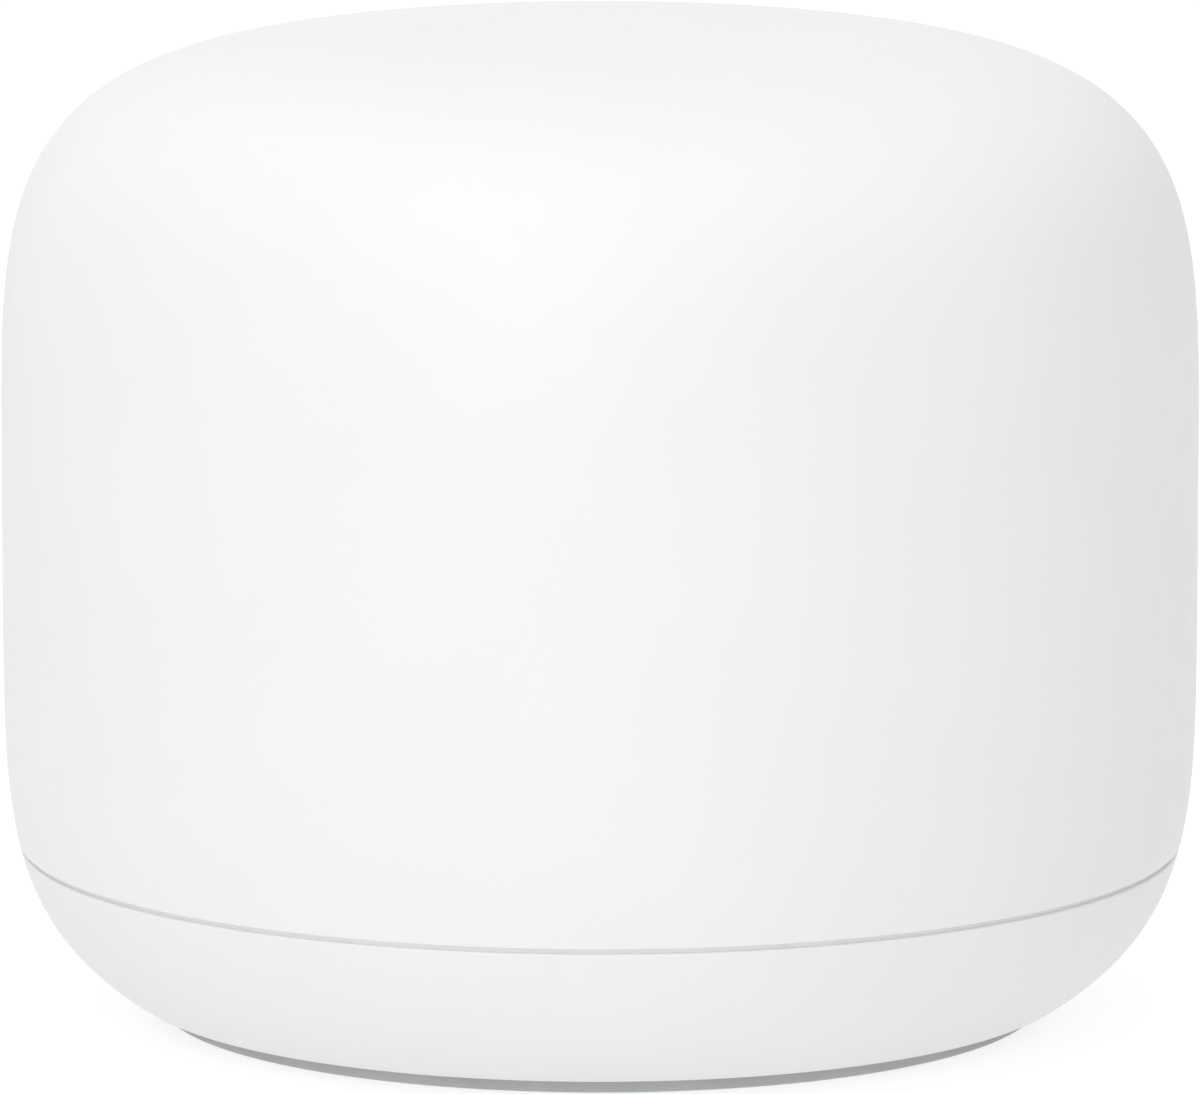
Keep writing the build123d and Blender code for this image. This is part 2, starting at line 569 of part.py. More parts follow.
def network_jack(name, centre):
    """A shielded eight-way socket hanging under the board: its sheet shell, insert and contacts."""
    low_z, back_y = BOARD_Z - JACK_HEIGHT, MOUTH_Y - JACK_DEPTH
    half, plug, latch = JACK_WIDTH / 2, PLUG_WIDTH / 2, LATCH_WIDTH / 2
    inner = half - JACK_SHEET
    with BuildPart() as shell:
        block((centre - half, back_y, low_z), (centre + half, MOUTH_Y, BOARD_Z))
        block(
            (centre - inner, back_y + JACK_SHEET, low_z + JACK_SHEET),
            (centre + inner, MOUTH_Y - JACK_SHEET, BOARD_Z + 1),
            Mode.SUBTRACT,
        )
        before, past = MOUTH_Y - 1, MOUTH_Y + 1
        block((centre - plug, before, PLUG_Z[0]), (centre + plug, past, PLUG_Z[1]), Mode.SUBTRACT)
        block((centre - latch, before, LATCH_Z), (centre + latch, past, PLUG_Z[0]), Mode.SUBTRACT)
    save(shell, f"{name}_jack_shell")

    inset = JACK_SHEET + 0.05
    insert_back, insert_front = back_y + inset, MOUTH_Y - inset
    cavity_back = insert_back + 1.8
    with BuildPart() as insert:
        block(
            (centre - half + inset, insert_back, low_z + inset),
            (centre + half - inset, insert_front, BOARD_Z),
        )
        block((centre - plug, cavity_back, PLUG_Z[0]), (centre + plug, MOUTH_Y, PLUG_Z[1]), Mode.SUBTRACT)
        block((centre - latch, cavity_back, LATCH_Z), (centre + latch, MOUTH_Y, PLUG_Z[0]), Mode.SUBTRACT)
        for k in range(8):
            x = centre + (k - 3.5) * CONTACT_PITCH
            slot_low, slot_front = PLUG_Z[1] - 0.5, insert_front - 1.0
            block((x - 0.3, cavity_back, slot_low), (x + 0.3, slot_front, 14.6), Mode.SUBTRACT)
            block((x - 0.3, cavity_back, 14.0), (x + 0.3, cavity_back + 1.0, BOARD_Z + 1), Mode.SUBTRACT)
    save(insert, f"{name}_jack_insert")

    pin_y = cavity_back + 0.5
    with BuildPart() as contacts:
        for k in range(8):
            x = centre + (k - 3.5) * CONTACT_PITCH
            with BuildSketch(Plane.YZ.offset(x - CONTACT_WIRE / 2)):
                with BuildLine():
                    FilletPolyline(
                        (pin_y, BOARD_Z),
                        (pin_y, 14.2),
                        (MOUTH_Y - 2.2, 14.2),
                        (cavity_back + 1.2, 11.2),
                        radius=[0.4, 0.3],
                    )
                trace(line_width=CONTACT_WIRE)
            extrude(amount=CONTACT_WIRE)
    save(contacts, f"{name}_jack_contacts")


for jack_name, jack_centre in JACK_CENTRES.items():
    network_jack(jack_name, jack_centre)

BORE_END_Y = MOUTH_Y - POWER_BORE_DEPTH

with BuildPart() as power_jack_housing:
    block(
        (POWER_X - POWER_WIDTH / 2, MOUTH_Y - POWER_DEPTH, BOARD_Z - POWER_HEIGHT),
        (POWER_X + POWER_WIDTH / 2, MOUTH_Y, BOARD_Z),
    )
    fillet(power_jack_housing.edges().filter_by(Axis.Y).group_by(Axis.Z)[0], 1.2)
    with BuildSketch(Plane.XZ.offset(-MOUTH_Y)):
        with Locations((POWER_X, POWER_Z)):
            Circle(POWER_BORE)
    extrude(amount=POWER_BORE_DEPTH, mode=Mode.SUBTRACT)
    block((POWER_X - 1.4, BORE_END_Y, 5.6), (POWER_X + 1.4, MOUTH_Y - 1.2, 7.2), Mode.SUBTRACT)
    with BuildSketch(Plane.XZ.offset(-BORE_END_Y)):
        with Locations((POWER_X, POWER_Z)):
            Circle(POWER_PIN_RADIUS + 0.4)
    extrude(amount=3.0, mode=Mode.SUBTRACT)
save(power_jack_housing, "power_jack_housing")

with BuildPart() as power_jack_pin:
    with BuildSketch(Plane.XZ.offset(-(BORE_END_Y - 3.0))):
        with Locations((POWER_X, POWER_Z)):
            Circle(POWER_PIN_RADIUS + 0.35)
    extrude(amount=-3.0)
    with BuildSketch(Plane.XZ.offset(-BORE_END_Y)):
        with Locations((POWER_X, POWER_Z)):
            Circle(POWER_PIN_RADIUS)
    extrude(amount=-POWER_PIN_LENGTH)
    fillet(power_jack_pin.edges().group_by(Axis.Y)[-1], 0.5)
save(power_jack_pin, "power_jack_pin")

with BuildPart() as power_jack_spring:
    with BuildSketch(Plane.YZ.offset(POWER_X - 1.1)):
        with BuildLine():
            FilletPolyline(
                (BORE_END_Y + 0.1, 5.9),
                (BORE_END_Y + 3.6, 5.9),
                (BORE_END_Y + 6.4, 6.9),
                (MOUTH_Y - 1.6, 6.1),
                radius=[1.5, 0.8],
            )
        trace(line_width=0.25)
    extrude(amount=2.2)
save(power_jack_spring, "power_jack_spring")

# ---------------------------------------------------------------- antenna carrier and antennas

LIGHT_BOARD_WIDTH, LIGHT_BOARD_HEIGHT = 9.0, 14.0
PAD_SIZES = {angle: (width + 2, height + 1) for angle, width, height in ANTENNAS.values()}
PAD_SIZES[270.0] = (LIGHT_BOARD_WIDTH + 1, LIGHT_BOARD_HEIGHT + 1)
STAKE_RADIUS = 0.8
STAKE_SPREAD = 5.5
STAKE_RISE = 2.5


def facing(angle, distance):
    """Upright plane facing away from the axis, local x sideways and local y up."""
    turn = math.radians(angle)
    out = Vector(math.cos(turn), math.sin(turn), 0)
    return Plane(origin=out * distance, x_dir=(-out.Y, out.X, 0), z_dir=out)


with BuildPart() as antenna_carrier:
    with BuildSketch(Plane.XY.offset(POST_TOP_Z)):
        Circle(CARRIER_OUTER)
        Circle(CARRIER_OUTER - CARRIER_WALL, mode=Mode.SUBTRACT)
    extrude(amount=CARRIER_TOP_Z - POST_TOP_Z)
    with BuildSketch(Plane.XY.offset(POST_TOP_Z)):
        Circle(CARRIER_OUTER - CARRIER_WALL / 2)
        Circle(POST_RING - 5, mode=Mode.SUBTRACT)
    extrude(amount=CARRIER_PLATE)
    with BuildSketch(Plane.XY.offset(CARRIER_TOP_Z - CARRIER_PLATE)):
        Circle(CARRIER_OUTER - CARRIER_WALL / 2)
        Circle(11, mode=Mode.SUBTRACT)
        with PolarLocations(26, 6):
            Circle(9, mode=Mode.SUBTRACT)
    extrude(amount=CARRIER_PLATE)
    top_circles = antenna_carrier.edges().filter_by(GeomType.CIRCLE).group_by(Axis.Z)[-1]
    fillet(top_circles.sort_by(SortBy.LENGTH)[-1], 1.2)
    with BuildSketch(Plane.XY.offset(POST_TOP_Z + 8)):
        with PolarLocations(CARRIER_OUTER, 4, start_angle=CORNER_ANGLE):
            Rectangle(2 * CARRIER_WALL + 2, 17)
    extrude(amount=12, mode=Mode.SUBTRACT)
    for angle, (width, height) in PAD_SIZES.items():
        with BuildSketch(facing(angle, CARRIER_OUTER - CARRIER_WALL / 2)):
            with Locations((0, ANTENNA_BASE_Z + height / 2 - 1)):
                RectangleRounded(width, height, 1.0)
        extrude(amount=PAD_FACE - CARRIER_OUTER + CARRIER_WALL / 2)
        with BuildSketch(facing(angle, PAD_FACE - 0.5)):
            spread = min(STAKE_SPREAD, width / 2 - 2.2)
            with Locations(
                (-spread, ANTENNA_BASE_Z + STAKE_RISE), (spread, ANTENNA_BASE_Z + height - STAKE_RISE - 1)
            ):
                Circle(STAKE_RADIUS - 0.05)
        extrude(amount=1.8)
    rod(POST_POINTS, SCREW_CLEARANCE, POST_TOP_Z, POST_TOP_Z + CARRIER_PLATE, Mode.SUBTRACT)
save(antenna_carrier, "antenna_carrier")


def antenna(angle, width, height, slots):
    """A flat radiator against the carrier, with the slots that tune it."""
    with BuildPart() as made:
        with BuildSketch(facing(angle, PAD_FACE)):
            with Locations((0, ANTENNA_BASE_Z + height / 2)):
                RectangleRounded(width, height, 0.6)
            for x, z, slot_width, slot_height in slots:
                with Locations((x, ANTENNA_BASE_Z + z)):
                    Rectangle(slot_width, slot_height, mode=Mode.SUBTRACT)
            spread = min(STAKE_SPREAD, (width + 2) / 2 - 2.2)
            with Locations(
                (-spread, ANTENNA_BASE_Z + STAKE_RISE), (spread, ANTENNA_BASE_Z + height - STAKE_RISE)
            ):
                Circle(STAKE_RADIUS, mode=Mode.SUBTRACT)
        extrude(amount=0.5)
    return made


SLOTS_5GHZ = [(-2.2, 14.0, 1.4, 14.2), (2.6, 9.6, 7.4, 1.4), (-6.0, 9.0, 3.2, 1.2)]
SLOTS_24GHZ = [(0.5, 16.0, 12.0, 1.5), (-5.5, 11.5, 1.5, 9.0), (5.6, 8.0, 7.0, 1.5)]
SLOTS_MESH = [(0.0, 9.2, 14.0, 1.2), (6.4, 6.6, 1.2, 4.0)]

for antenna_name, (angle, width, height) in ANTENNAS.items():
    if "5ghz" in antenna_name:
        slots = SLOTS_5GHZ
    elif "24ghz" in antenna_name:
        slots = SLOTS_24GHZ
    else:
        slots = SLOTS_MESH
    save(antenna(angle, width, height, slots), antenna_name)

# ---------------------------------------------------------------- antenna leads

SOCKET_HEIGHT = 0.9
PLUG_TOP_Z = COAX_Z + COAX_DIAMETER / 2 + 0.3
SOCKET_POINTS = ring_points(SOCKET_RING, ANTENNA_ANGLES)

with BuildPart() as board_sockets:
    rod(SOCKET_POINTS, 1.3, BOARD_TOP_Z, BOARD_TOP_Z + 0.35)
    rod(SOCKET_POINTS, 0.95, BOARD_TOP_Z + 0.35, BOARD_TOP_Z + SOCKET_HEIGHT)
save(board_sockets, "coax_board_sockets")

with BuildPart() as coax_plugs:
    rod(SOCKET_POINTS, 1.35, BOARD_TOP_Z + SOCKET_HEIGHT, PLUG_TOP_Z)
    for angle in ANTENNA_ANGLES:
        with BuildSketch(facing(angle, SOCKET_RING)):
            with Locations((0, (BOARD_TOP_Z + SOCKET_HEIGHT + PLUG_TOP_Z) / 2)):
                Rectangle(1.7, PLUG_TOP_Z - BOARD_TOP_Z - SOCKET_HEIGHT)
        extrude(amount=2.4)
save(coax_plugs, "coax_plugs")


def coax_lead(angle, feed_z):
    """A lead from its plug out past the heat sink, then up to its antenna."""
    turn = math.radians(angle)
    out = Vector(math.cos(turn), math.sin(turn), 0)
    with BuildPart() as lead:
        with BuildLine(Plane(origin=(0, 0, 0), x_dir=out, z_dir=(out.Y, -out.X, 0))) as route:
            FilletPolyline(
                (SOCKET_RING + 2.4, COAX_Z), (COAX_RING, COAX_Z), (COAX_RING, feed_z), radius=COAX_BEND
            )
        with BuildSketch(Plane(origin=route.line @ 0, z_dir=route.line % 0)):
            Circle(COAX_DIAMETER / 2)
        sweep()
    return lead


for antenna_name, (angle, width, height) in ANTENNAS.items():
    save(coax_lead(angle, ANTENNA_BASE_Z + height * 0.28), antenna_name.replace("antenna", "coax_lead"))

# ---------------------------------------------------------------- status light

LIGHT_BOARD_FACE = PAD_FACE + 0.8

with BuildPart() as light_board:
    with BuildSketch(facing(270, PAD_FACE)):
        with Locations((0, ANTENNA_BASE_Z + LIGHT_BOARD_HEIGHT / 2)):
            RectangleRounded(LIGHT_BOARD_WIDTH, LIGHT_BOARD_HEIGHT, 0.8)
        spread = LIGHT_BOARD_WIDTH / 2 + 0.5 - 2.2
        with Locations(
            (-spread, ANTENNA_BASE_Z + STAKE_RISE),
            (spread, ANTENNA_BASE_Z + LIGHT_BOARD_HEIGHT - STAKE_RISE),
        ):
            Circle(STAKE_RADIUS, mode=Mode.SUBTRACT)
    extrude(amount=LIGHT_BOARD_FACE - PAD_FACE)
save(light_board, "light_board")

with BuildPart() as status_led:
    with BuildSketch(facing(270, LIGHT_BOARD_FACE)):
        with Locations((0, LIGHT_Z)):
            Rectangle(3.0, 1.8)
    extrude(amount=0.9)
save(status_led, "status_led")

with BuildPart() as light_pipe:
    with BuildSketch(facing(270, LIGHT_BOARD_FACE + 1.2)):
        with Locations((0, LIGHT_Z)):
            Circle(2.6)
    extrude(amount=0.9)
    with BuildSketch(facing(270, LIGHT_BOARD_FACE + 1.2)):
        with Locations((0, LIGHT_Z)):
            Circle(LIGHT_PIPE_RADIUS)
    extrude(amount=BODY_RADIUS - LIGHT_SKIN - 0.1 - LIGHT_BOARD_FACE - 1.2)
save(light_pipe, "light_pipe")

with BuildPart() as light_ribbon:
    with BuildSketch(Plane.YZ.offset(-1.6)):
        with BuildLine():
            FilletPolyline(
                (-LIGHT_BOARD_FACE - 0.1, ANTENNA_BASE_Z + 2.0),
                (-LIGHT_BOARD_FACE - 0.1, ANTENNA_BASE_Z - 3.0),
                (-LIGHT_BOARD_FACE - 1.6, ANTENNA_BASE_Z - 7.0),
                (-LIGHT_BOARD_FACE - 1.6, BOARD_TOP_Z + 1.0),
                (-38.5, BOARD_TOP_Z + 1.0),
                radius=[3.0, 3.0, 3.0],
            )
        trace(line_width=0.2)
    extrude(amount=3.2)
save(light_ribbon, "light_ribbon_cable")

with BuildPart() as ribbon_connector:
    block((-3.0, -38.6, BOARD_TOP_Z), (3.0, -35.4, BOARD_TOP_Z + 1.8))
    block((-1.8, -39.0, BOARD_TOP_Z + 0.85), (1.8, -36.6, BOARD_TOP_Z + 1.15), Mode.SUBTRACT)
save(ribbon_connector, "ribbon_connector")

# ---------------------------------------------------------------- fasteners

save(screws(LEG_POINTS, COUNTERBORE_TOP_Z, 12.0, upwards=True), "tray_screws")
save(screws(EAR_POINTS, SINK_BASE_Z, 12.0, upwards=True), "cover_screws")
save(screws(POST_POINTS, POST_TOP_Z + CARRIER_PLATE, 8.0, upwards=False), "carrier_screws")
save(screws(STANDOFF_POINTS, SINK_TOP_Z, 6.5, upwards=False), "heat_sink_screws")
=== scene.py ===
"""Round wireless router on a pale table, lit by soft studio light."""

import json
import math
import random

import bmesh
import bpy
from mathutils import Matrix, Vector


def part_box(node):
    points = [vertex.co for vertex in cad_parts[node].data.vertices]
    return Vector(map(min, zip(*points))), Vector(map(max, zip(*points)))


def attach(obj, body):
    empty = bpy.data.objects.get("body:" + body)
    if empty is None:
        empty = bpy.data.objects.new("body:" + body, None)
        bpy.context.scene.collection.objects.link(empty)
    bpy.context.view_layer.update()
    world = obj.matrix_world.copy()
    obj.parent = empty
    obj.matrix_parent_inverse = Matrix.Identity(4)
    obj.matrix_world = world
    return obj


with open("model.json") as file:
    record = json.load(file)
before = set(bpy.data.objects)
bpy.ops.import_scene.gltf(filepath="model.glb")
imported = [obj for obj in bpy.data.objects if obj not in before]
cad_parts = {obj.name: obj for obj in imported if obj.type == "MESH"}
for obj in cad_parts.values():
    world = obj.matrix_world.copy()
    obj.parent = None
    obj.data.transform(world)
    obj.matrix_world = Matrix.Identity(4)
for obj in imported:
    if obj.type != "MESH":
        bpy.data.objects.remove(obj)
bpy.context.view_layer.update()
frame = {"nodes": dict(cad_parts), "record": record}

scene = bpy.context.scene
MM = 0.001

# ---------------------------------------------------------------- materials


class Finish:
    """A procedural material. Its textures lie in metres in the object's own frame."""

    def __init__(self, name, **sockets):
        self.material = bpy.data.materials.new(name)
        self.material.use_nodes = True
        self.tree = self.material.node_tree
        self.shader = self.tree.nodes["Principled BSDF"]
        for socket, value in sockets.items():
            self.shader.inputs[socket.replace("_", " ")].default_value = value
        self.places = self.tree.nodes.new("ShaderNodeTexCoord").outputs["Object"]
        self.surface = None

    def feed(self, value, socket):
        """Gives a node input a link or a plain value."""
        if isinstance(value, bpy.types.NodeSocket):
            self.tree.links.new(value, socket)
        else:
            socket.default_value = value

    def texture(self, kind, size, stretch):
        """A texture node whose features are about size metres across, stretched along X, Y and Z."""
        node = self.tree.nodes.new(kind)
        node.inputs["Scale"].default_value = 1 / size
        mapping = self.tree.nodes.new("ShaderNodeMapping")
        mapping.inputs["Scale"].default_value = [1 / length for length in stretch]
        self.tree.links.new(self.places, mapping.inputs["Vector"])
        self.tree.links.new(mapping.outputs["Vector"], node.inputs["Vector"])
        return node

    def noise(self, size, detail=3.0, stretch=(1, 1, 1)):
        """Cloudy noise from 0 to 1, mostly between 0.3 and 0.7."""
        node = self.texture("ShaderNodeTexNoise", size, stretch)
        node.inputs["Detail"].default_value = detail
        return node.outputs["Fac"]

    def cells(self, size, stretch=(1, 1, 1)):
        """Distance from the nearest point of a scattered pattern, in cell sizes."""
        return self.texture("ShaderNodeTexVoronoi", size, stretch).outputs["Distance"]

    def bands(self, pitch, direction, bend=0.0):
        """Parallel stripes, one every pitch metres."""
        node = self.texture("ShaderNodeTexWave", pitch * 20 / math.tau, (1, 1, 1))
        node.bands_direction = direction
        node.inputs["Distortion"].default_value = bend
        return node.outputs["Fac"]

    def spread(self, value, low, high, to_low=0.0, to_high=1.0):
        """Maps low..high to to_low..to_high, and clamps."""
        node = self.tree.nodes.new("ShaderNodeMapRange")
        self.feed(value, node.inputs["Value"])
        limits = {"From Min": low, "From Max": high, "To Min": to_low, "To Max": to_high}
        for name, number in limits.items():
            node.inputs[name].default_value = number
        return node.outputs["Result"]

    def combine(self, operation, a, b):
        """One arithmetic operation on two links or numbers."""
        node = self.tree.nodes.new("ShaderNodeMath")
        node.operation = operation
        self.feed(a, node.inputs[0])
        self.feed(b, node.inputs[1])
        return node.outputs["Value"]

    def blend(self, share, colour_a, colour_b):
        """Colour a where share is 0, and colour b where it is 1."""
        node = self.tree.nodes.new("ShaderNodeMix")
        node.data_type = "RGBA"
        self.feed(share, node.inputs["Factor"])
        for colour, socket in ((colour_a, node.inputs[6]), (colour_b, node.inputs[7])):
            self.feed(colour if isinstance(colour, bpy.types.NodeSocket) else (*colour, 1.0), socket)
        return node.outputs[2]

    def colour(self, value):
        """Links a colour to the shader."""
        self.tree.links.new(value, self.shader.inputs["Base Color"])

    def roughness(self, value, low, high):
        """Roughness between low and high, following a noise."""
        self.tree.links.new(self.spread(value, 0.3, 0.7, low, high), self.shader.inputs["Roughness"])

    def relief(self, height, depth):
        """Adds bumps whose full height is depth metres."""
        node = self.tree.nodes.new("ShaderNodeBump")
        node.inputs["Distance"].default_value = depth
        self.feed(height, node.inputs["Height"])
        if self.surface:
            self.tree.links.new(self.surface, node.inputs["Normal"])
        self.surface = node.outputs["Normal"]
        self.tree.links.new(self.surface, self.shader.inputs["Normal"])


def plastic(name, dark, light, rough, grain=0.22 * MM, depth=0.004 * MM, **sockets):
    """Moulded plastic: slight cloudiness, an eroded-tool grain and uneven gloss."""
    finish = Finish(name, **sockets)
    cloud = finish.spread(finish.noise(16 * MM, 4), 0.3, 0.7, 0.0, 0.7)
    speck = finish.noise(grain, 2)
    mottle = finish.combine("ADD", cloud, finish.spread(speck, 0.3, 0.7, 0.0, 0.3))
    finish.colour(finish.blend(mottle, dark, light))
    finish.roughness(finish.noise(3 * MM, 5), *rough)
    finish.relief(speck, depth)
    finish.relief(finish.cells(grain * 2.6), depth * 0.6)
    return finish


def metal(name, dark, light, rough, grain=0.12 * MM, stretch=(1, 1, 10), depth=0.002 * MM, **sockets):
    """Bare or plated metal: drawn grain, faint stains and fine scratches."""
    finish = Finish(name, Metallic=1.0, **sockets)
    lines = finish.noise(grain, 5, stretch)
    stain = finish.spread(finish.noise(5 * MM, 5), 0.3, 0.7, 0.0, 0.7)
    tarnish = finish.combine("ADD", stain, finish.spread(lines, 0.3, 0.7, 0.0, 0.3))
    finish.colour(finish.blend(tarnish, dark, light))
    rubbed = finish.combine("ADD", lines, finish.noise(2 * MM, 3))
    finish.roughness(finish.combine("MULTIPLY", rubbed, 0.5), *rough)
    finish.relief(lines, depth)
    return finish


def rubber(name, dark, light, rough, grain=0.15 * MM, depth=0.006 * MM):
    """Soft matte rubber with a fine skin and a few pale dust specks."""
    finish = Finish(name)
    skin = finish.noise(grain, 3)
    body = finish.blend(finish.spread(finish.noise(9 * MM, 4), 0.3, 0.7), dark, light)
    dust = finish.spread(finish.cells(1.7 * MM), 0.045, 0.075, 0.5, 0.0)
    finish.colour(finish.blend(dust, body, [min(1.0, 1.5 * level + 0.1) for level in light]))
    finish.roughness(finish.noise(2 * MM, 4), *rough)
    finish.relief(skin, depth)
    finish.relief(finish.noise(3 * MM, 2), depth * 2)
    return finish


def solder_mask(name):
    """Lacquered board: copper runs under the lacquer, both ways, and small plated holes."""
    finish = Finish(name, Coat_Weight=0.35, Coat_Roughness=0.16)
    region = finish.spread(finish.noise(7 * MM, 2), 0.48, 0.52)
    across = finish.spread(finish.bands(0.9 * MM, "X", 1.2), 0.55, 0.7)
    along = finish.spread(finish.bands(0.9 * MM, "Y", 1.2), 0.55, 0.7)
    inverse = finish.combine("SUBTRACT", 1.0, region)
    copper = finish.combine(
        "ADD", finish.combine("MULTIPLY", across, region), finish.combine("MULTIPLY", along, inverse)
    )
    hole = finish.spread(finish.cells(2.4 * MM), 0.1, 0.14, 1.0, 0.0)
    lacquer = finish.blend(copper, (0.012, 0.085, 0.040), (0.025, 0.160, 0.070))
    finish.colour(finish.blend(hole, lacquer, (0.46, 0.40, 0.26)))
    finish.roughness(finish.noise(1.5 * MM, 4), 0.28, 0.42)
    finish.relief(copper, 0.03 * MM)
    finish.relief(hole, 0.04 * MM)
    return finish


def heat_pad(name):
    """Filled silicone pad with coarse mineral grains."""
    finish = Finish(name)
    grains = finish.spread(finish.cells(0.35 * MM), 0.1, 0.5)
    finish.colour(finish.blend(grains, (0.36, 0.44, 0.55), (0.24, 0.33, 0.47)))
    finish.roughness(finish.noise(1 * MM, 4), 0.65, 0.85)
    finish.relief(grains, 0.02 * MM)
    return finish


def blasted_casting(name):
    """Die-cast aluminium: blasted grain, flow marks and dull patches."""
    finish = Finish(name, Metallic=1.0)
    pits = finish.cells(0.45 * MM)
    flow = finish.noise(6 * MM, 6, (1, 3, 1))
    finish.colour(finish.blend(finish.spread(flow, 0.3, 0.7), (0.47, 0.475, 0.48), (0.62, 0.625, 0.63)))
    finish.roughness(finish.combine("MULTIPLY", finish.combine("ADD", flow, pits), 0.6), 0.42, 0.62)
    finish.relief(pits, 0.02 * MM)
    finish.relief(flow, 0.04 * MM)
    return finish


def ribbon_film(name):
    """Amber film over parallel copper tracks."""
    finish = Finish(name, Coat_Weight=0.5, Coat_Roughness=0.12)
    tracks = finish.spread(finish.bands(0.5 * MM, "X"), 0.45, 0.6)
    film = finish.blend(finish.noise(2 * MM, 3), (0.42, 0.17, 0.025), (0.50, 0.21, 0.035))
    finish.colour(finish.blend(tracks, film, (0.62, 0.30, 0.09)))
    finish.roughness(finish.noise(1 * MM, 3), 0.22, 0.36)
    finish.relief(tracks, 0.02 * MM)
    return finish


def clear_acrylic(name):
    """Moulded light guide, polished with faint flow lines."""
    finish = Finish(name, IOR=1.49, Transmission_Weight=0.9)
    flow = finish.noise(1.2 * MM, 3, (1, 6, 1))
    finish.colour(finish.blend(flow, (0.90, 0.92, 0.92), (0.96, 0.97, 0.97)))
    finish.roughness(flow, 0.03, 0.12)
    finish.relief(flow, 0.003 * MM)
    return finish


def foam_tape(name):
    """Closed-cell foam tape with burst cells on its faces."""
    finish = Finish(name)
    pores = finish.spread(finish.cells(0.3 * MM), 0.15, 0.5)
    finish.colour(finish.blend(pores, (0.030, 0.030, 0.032), (0.085, 0.085, 0.09)))
    finish.roughness(finish.noise(0.8 * MM, 3), 0.75, 0.92)
    finish.relief(pores, 0.03 * MM)
    return finish


FINISHES = {
    "cover_polycarbonate": plastic(
        "cover_plastic", (0.775, 0.775, 0.774), (0.791, 0.791, 0.790), (0.46, 0.55),
    ),
    "tray_polycarbonate": plastic(
        "tray_plastic", (0.770, 0.770, 0.769), (0.788, 0.788, 0.787), (0.48, 0.57),
    ),
    "foot_silicone": rubber("foot_rubber", (0.40, 0.40, 0.402), (0.44, 0.44, 0.442), (0.60, 0.76)),
    "tape_foam": foam_tape("tape_foam"),
    "button_plastic": plastic("button_plastic", (0.34, 0.34, 0.345), (0.37, 0.37, 0.375), (0.38, 0.48)),
    "switch_nylon": plastic("switch_nylon", (0.012, 0.012, 0.013), (0.020, 0.020, 0.021), (0.34, 0.46)),
    "plunger_acetal": plastic(
        "plunger_acetal", (0.21, 0.085, 0.030), (0.25, 0.105, 0.040), (0.30, 0.40),
    ),
    "board_solder_mask": solder_mask("board_lacquer"),
    "chip_epoxy": plastic(
        "chip_epoxy", (0.016, 0.016, 0.018), (0.026, 0.026, 0.028), (0.46, 0.60), 0.1 * MM,
    ),
    "ferrite_composite": plastic(
        "ferrite", (0.030, 0.030, 0.033), (0.048, 0.047, 0.050), (0.38, 0.55), 0.12 * MM,
    ),
    "can_aluminium": metal("can_aluminium", (0.66, 0.66, 0.68), (0.76, 0.76, 0.78), (0.26, 0.38)),
    "crystal_can": metal(
        "crystal_can", (0.58, 0.57, 0.53), (0.68, 0.67, 0.62), (0.28, 0.40), stretch=(10, 1, 1),
    ),
    "tinned_shield": metal(
        "tinned_sheet", (0.60, 0.60, 0.585), (0.72, 0.72, 0.70), (0.26, 0.42), stretch=(10, 1, 1),
    ),
    "thermal_pad_silicone": heat_pad("heat_pad"),
    "heat_sink_casting": blasted_casting("cast_aluminium"),
    "standoff_brass": metal(
        "turned_brass", (0.64, 0.44, 0.19), (0.78, 0.56, 0.27), (0.20, 0.34), stretch=(8, 8, 1),
    ),
    "jack_shell_steel": metal(
        "shell_steel", (0.58, 0.58, 0.57), (0.70, 0.70, 0.69), (0.24, 0.38), stretch=(1, 10, 1),
    ),
    "jack_insert_nylon": plastic(
        "insert_nylon", (0.014, 0.014, 0.015), (0.024, 0.024, 0.025), (0.36, 0.50),
    ),
    "contact_gold": metal(
        "contact_gold", (0.74, 0.52, 0.20), (0.88, 0.66, 0.30), (0.14, 0.26), stretch=(1, 8, 1),
    ),
    "power_jack_nylon": plastic(
        "socket_nylon", (0.012, 0.012, 0.012), (0.021, 0.021, 0.021), (0.34, 0.48),
    ),
    "power_pin_nickel": metal(
        "pin_nickel", (0.64, 0.61, 0.55), (0.78, 0.75, 0.69), (0.12, 0.24), stretch=(1, 8, 1),
    ),
    "carrier_abs": plastic(
        "carrier_abs", (0.040, 0.040, 0.043), (0.055, 0.055, 0.058), (0.44, 0.56), 0.3 * MM,
    ),
    "antenna_tin": metal(
        "tinned_phosphor_bronze", (0.60, 0.53, 0.41), (0.74, 0.68, 0.56), (0.24, 0.40),
    ),
    "coax_jacket": plastic(
        "coax_jacket", (0.014, 0.014, 0.016), (0.024, 0.024, 0.026), (0.26, 0.38), 0.08 * MM,
    ),
    "led_package": plastic(
        "led_package", (0.74, 0.68, 0.30), (0.86, 0.82, 0.56), (0.18, 0.30), 0.3 * MM,
    ),
    "light_pipe_acrylic": clear_acrylic("light_guide"),
    "ribbon_polyimide": ribbon_film("ribbon_film"),
    "connector_nylon": plastic("connector_nylon", (0.64, 0.59, 0.47), (0.72, 0.68, 0.56), (0.36, 0.50)),
    "screw_zinc": metal(
        "zinc_plate", (0.50, 0.51, 0.53), (0.66, 0.67, 0.68), (0.24, 0.38), stretch=(4, 4, 1),
    ),
}

for subpart in frame["record"]["subparts"]:
    node = frame["nodes"][subpart["node"]]
    node.data.materials.clear()
    node.data.materials.append(FINISHES[subpart["material_slot"]].material)

# ---------------------------------------------------------------- small parts made here


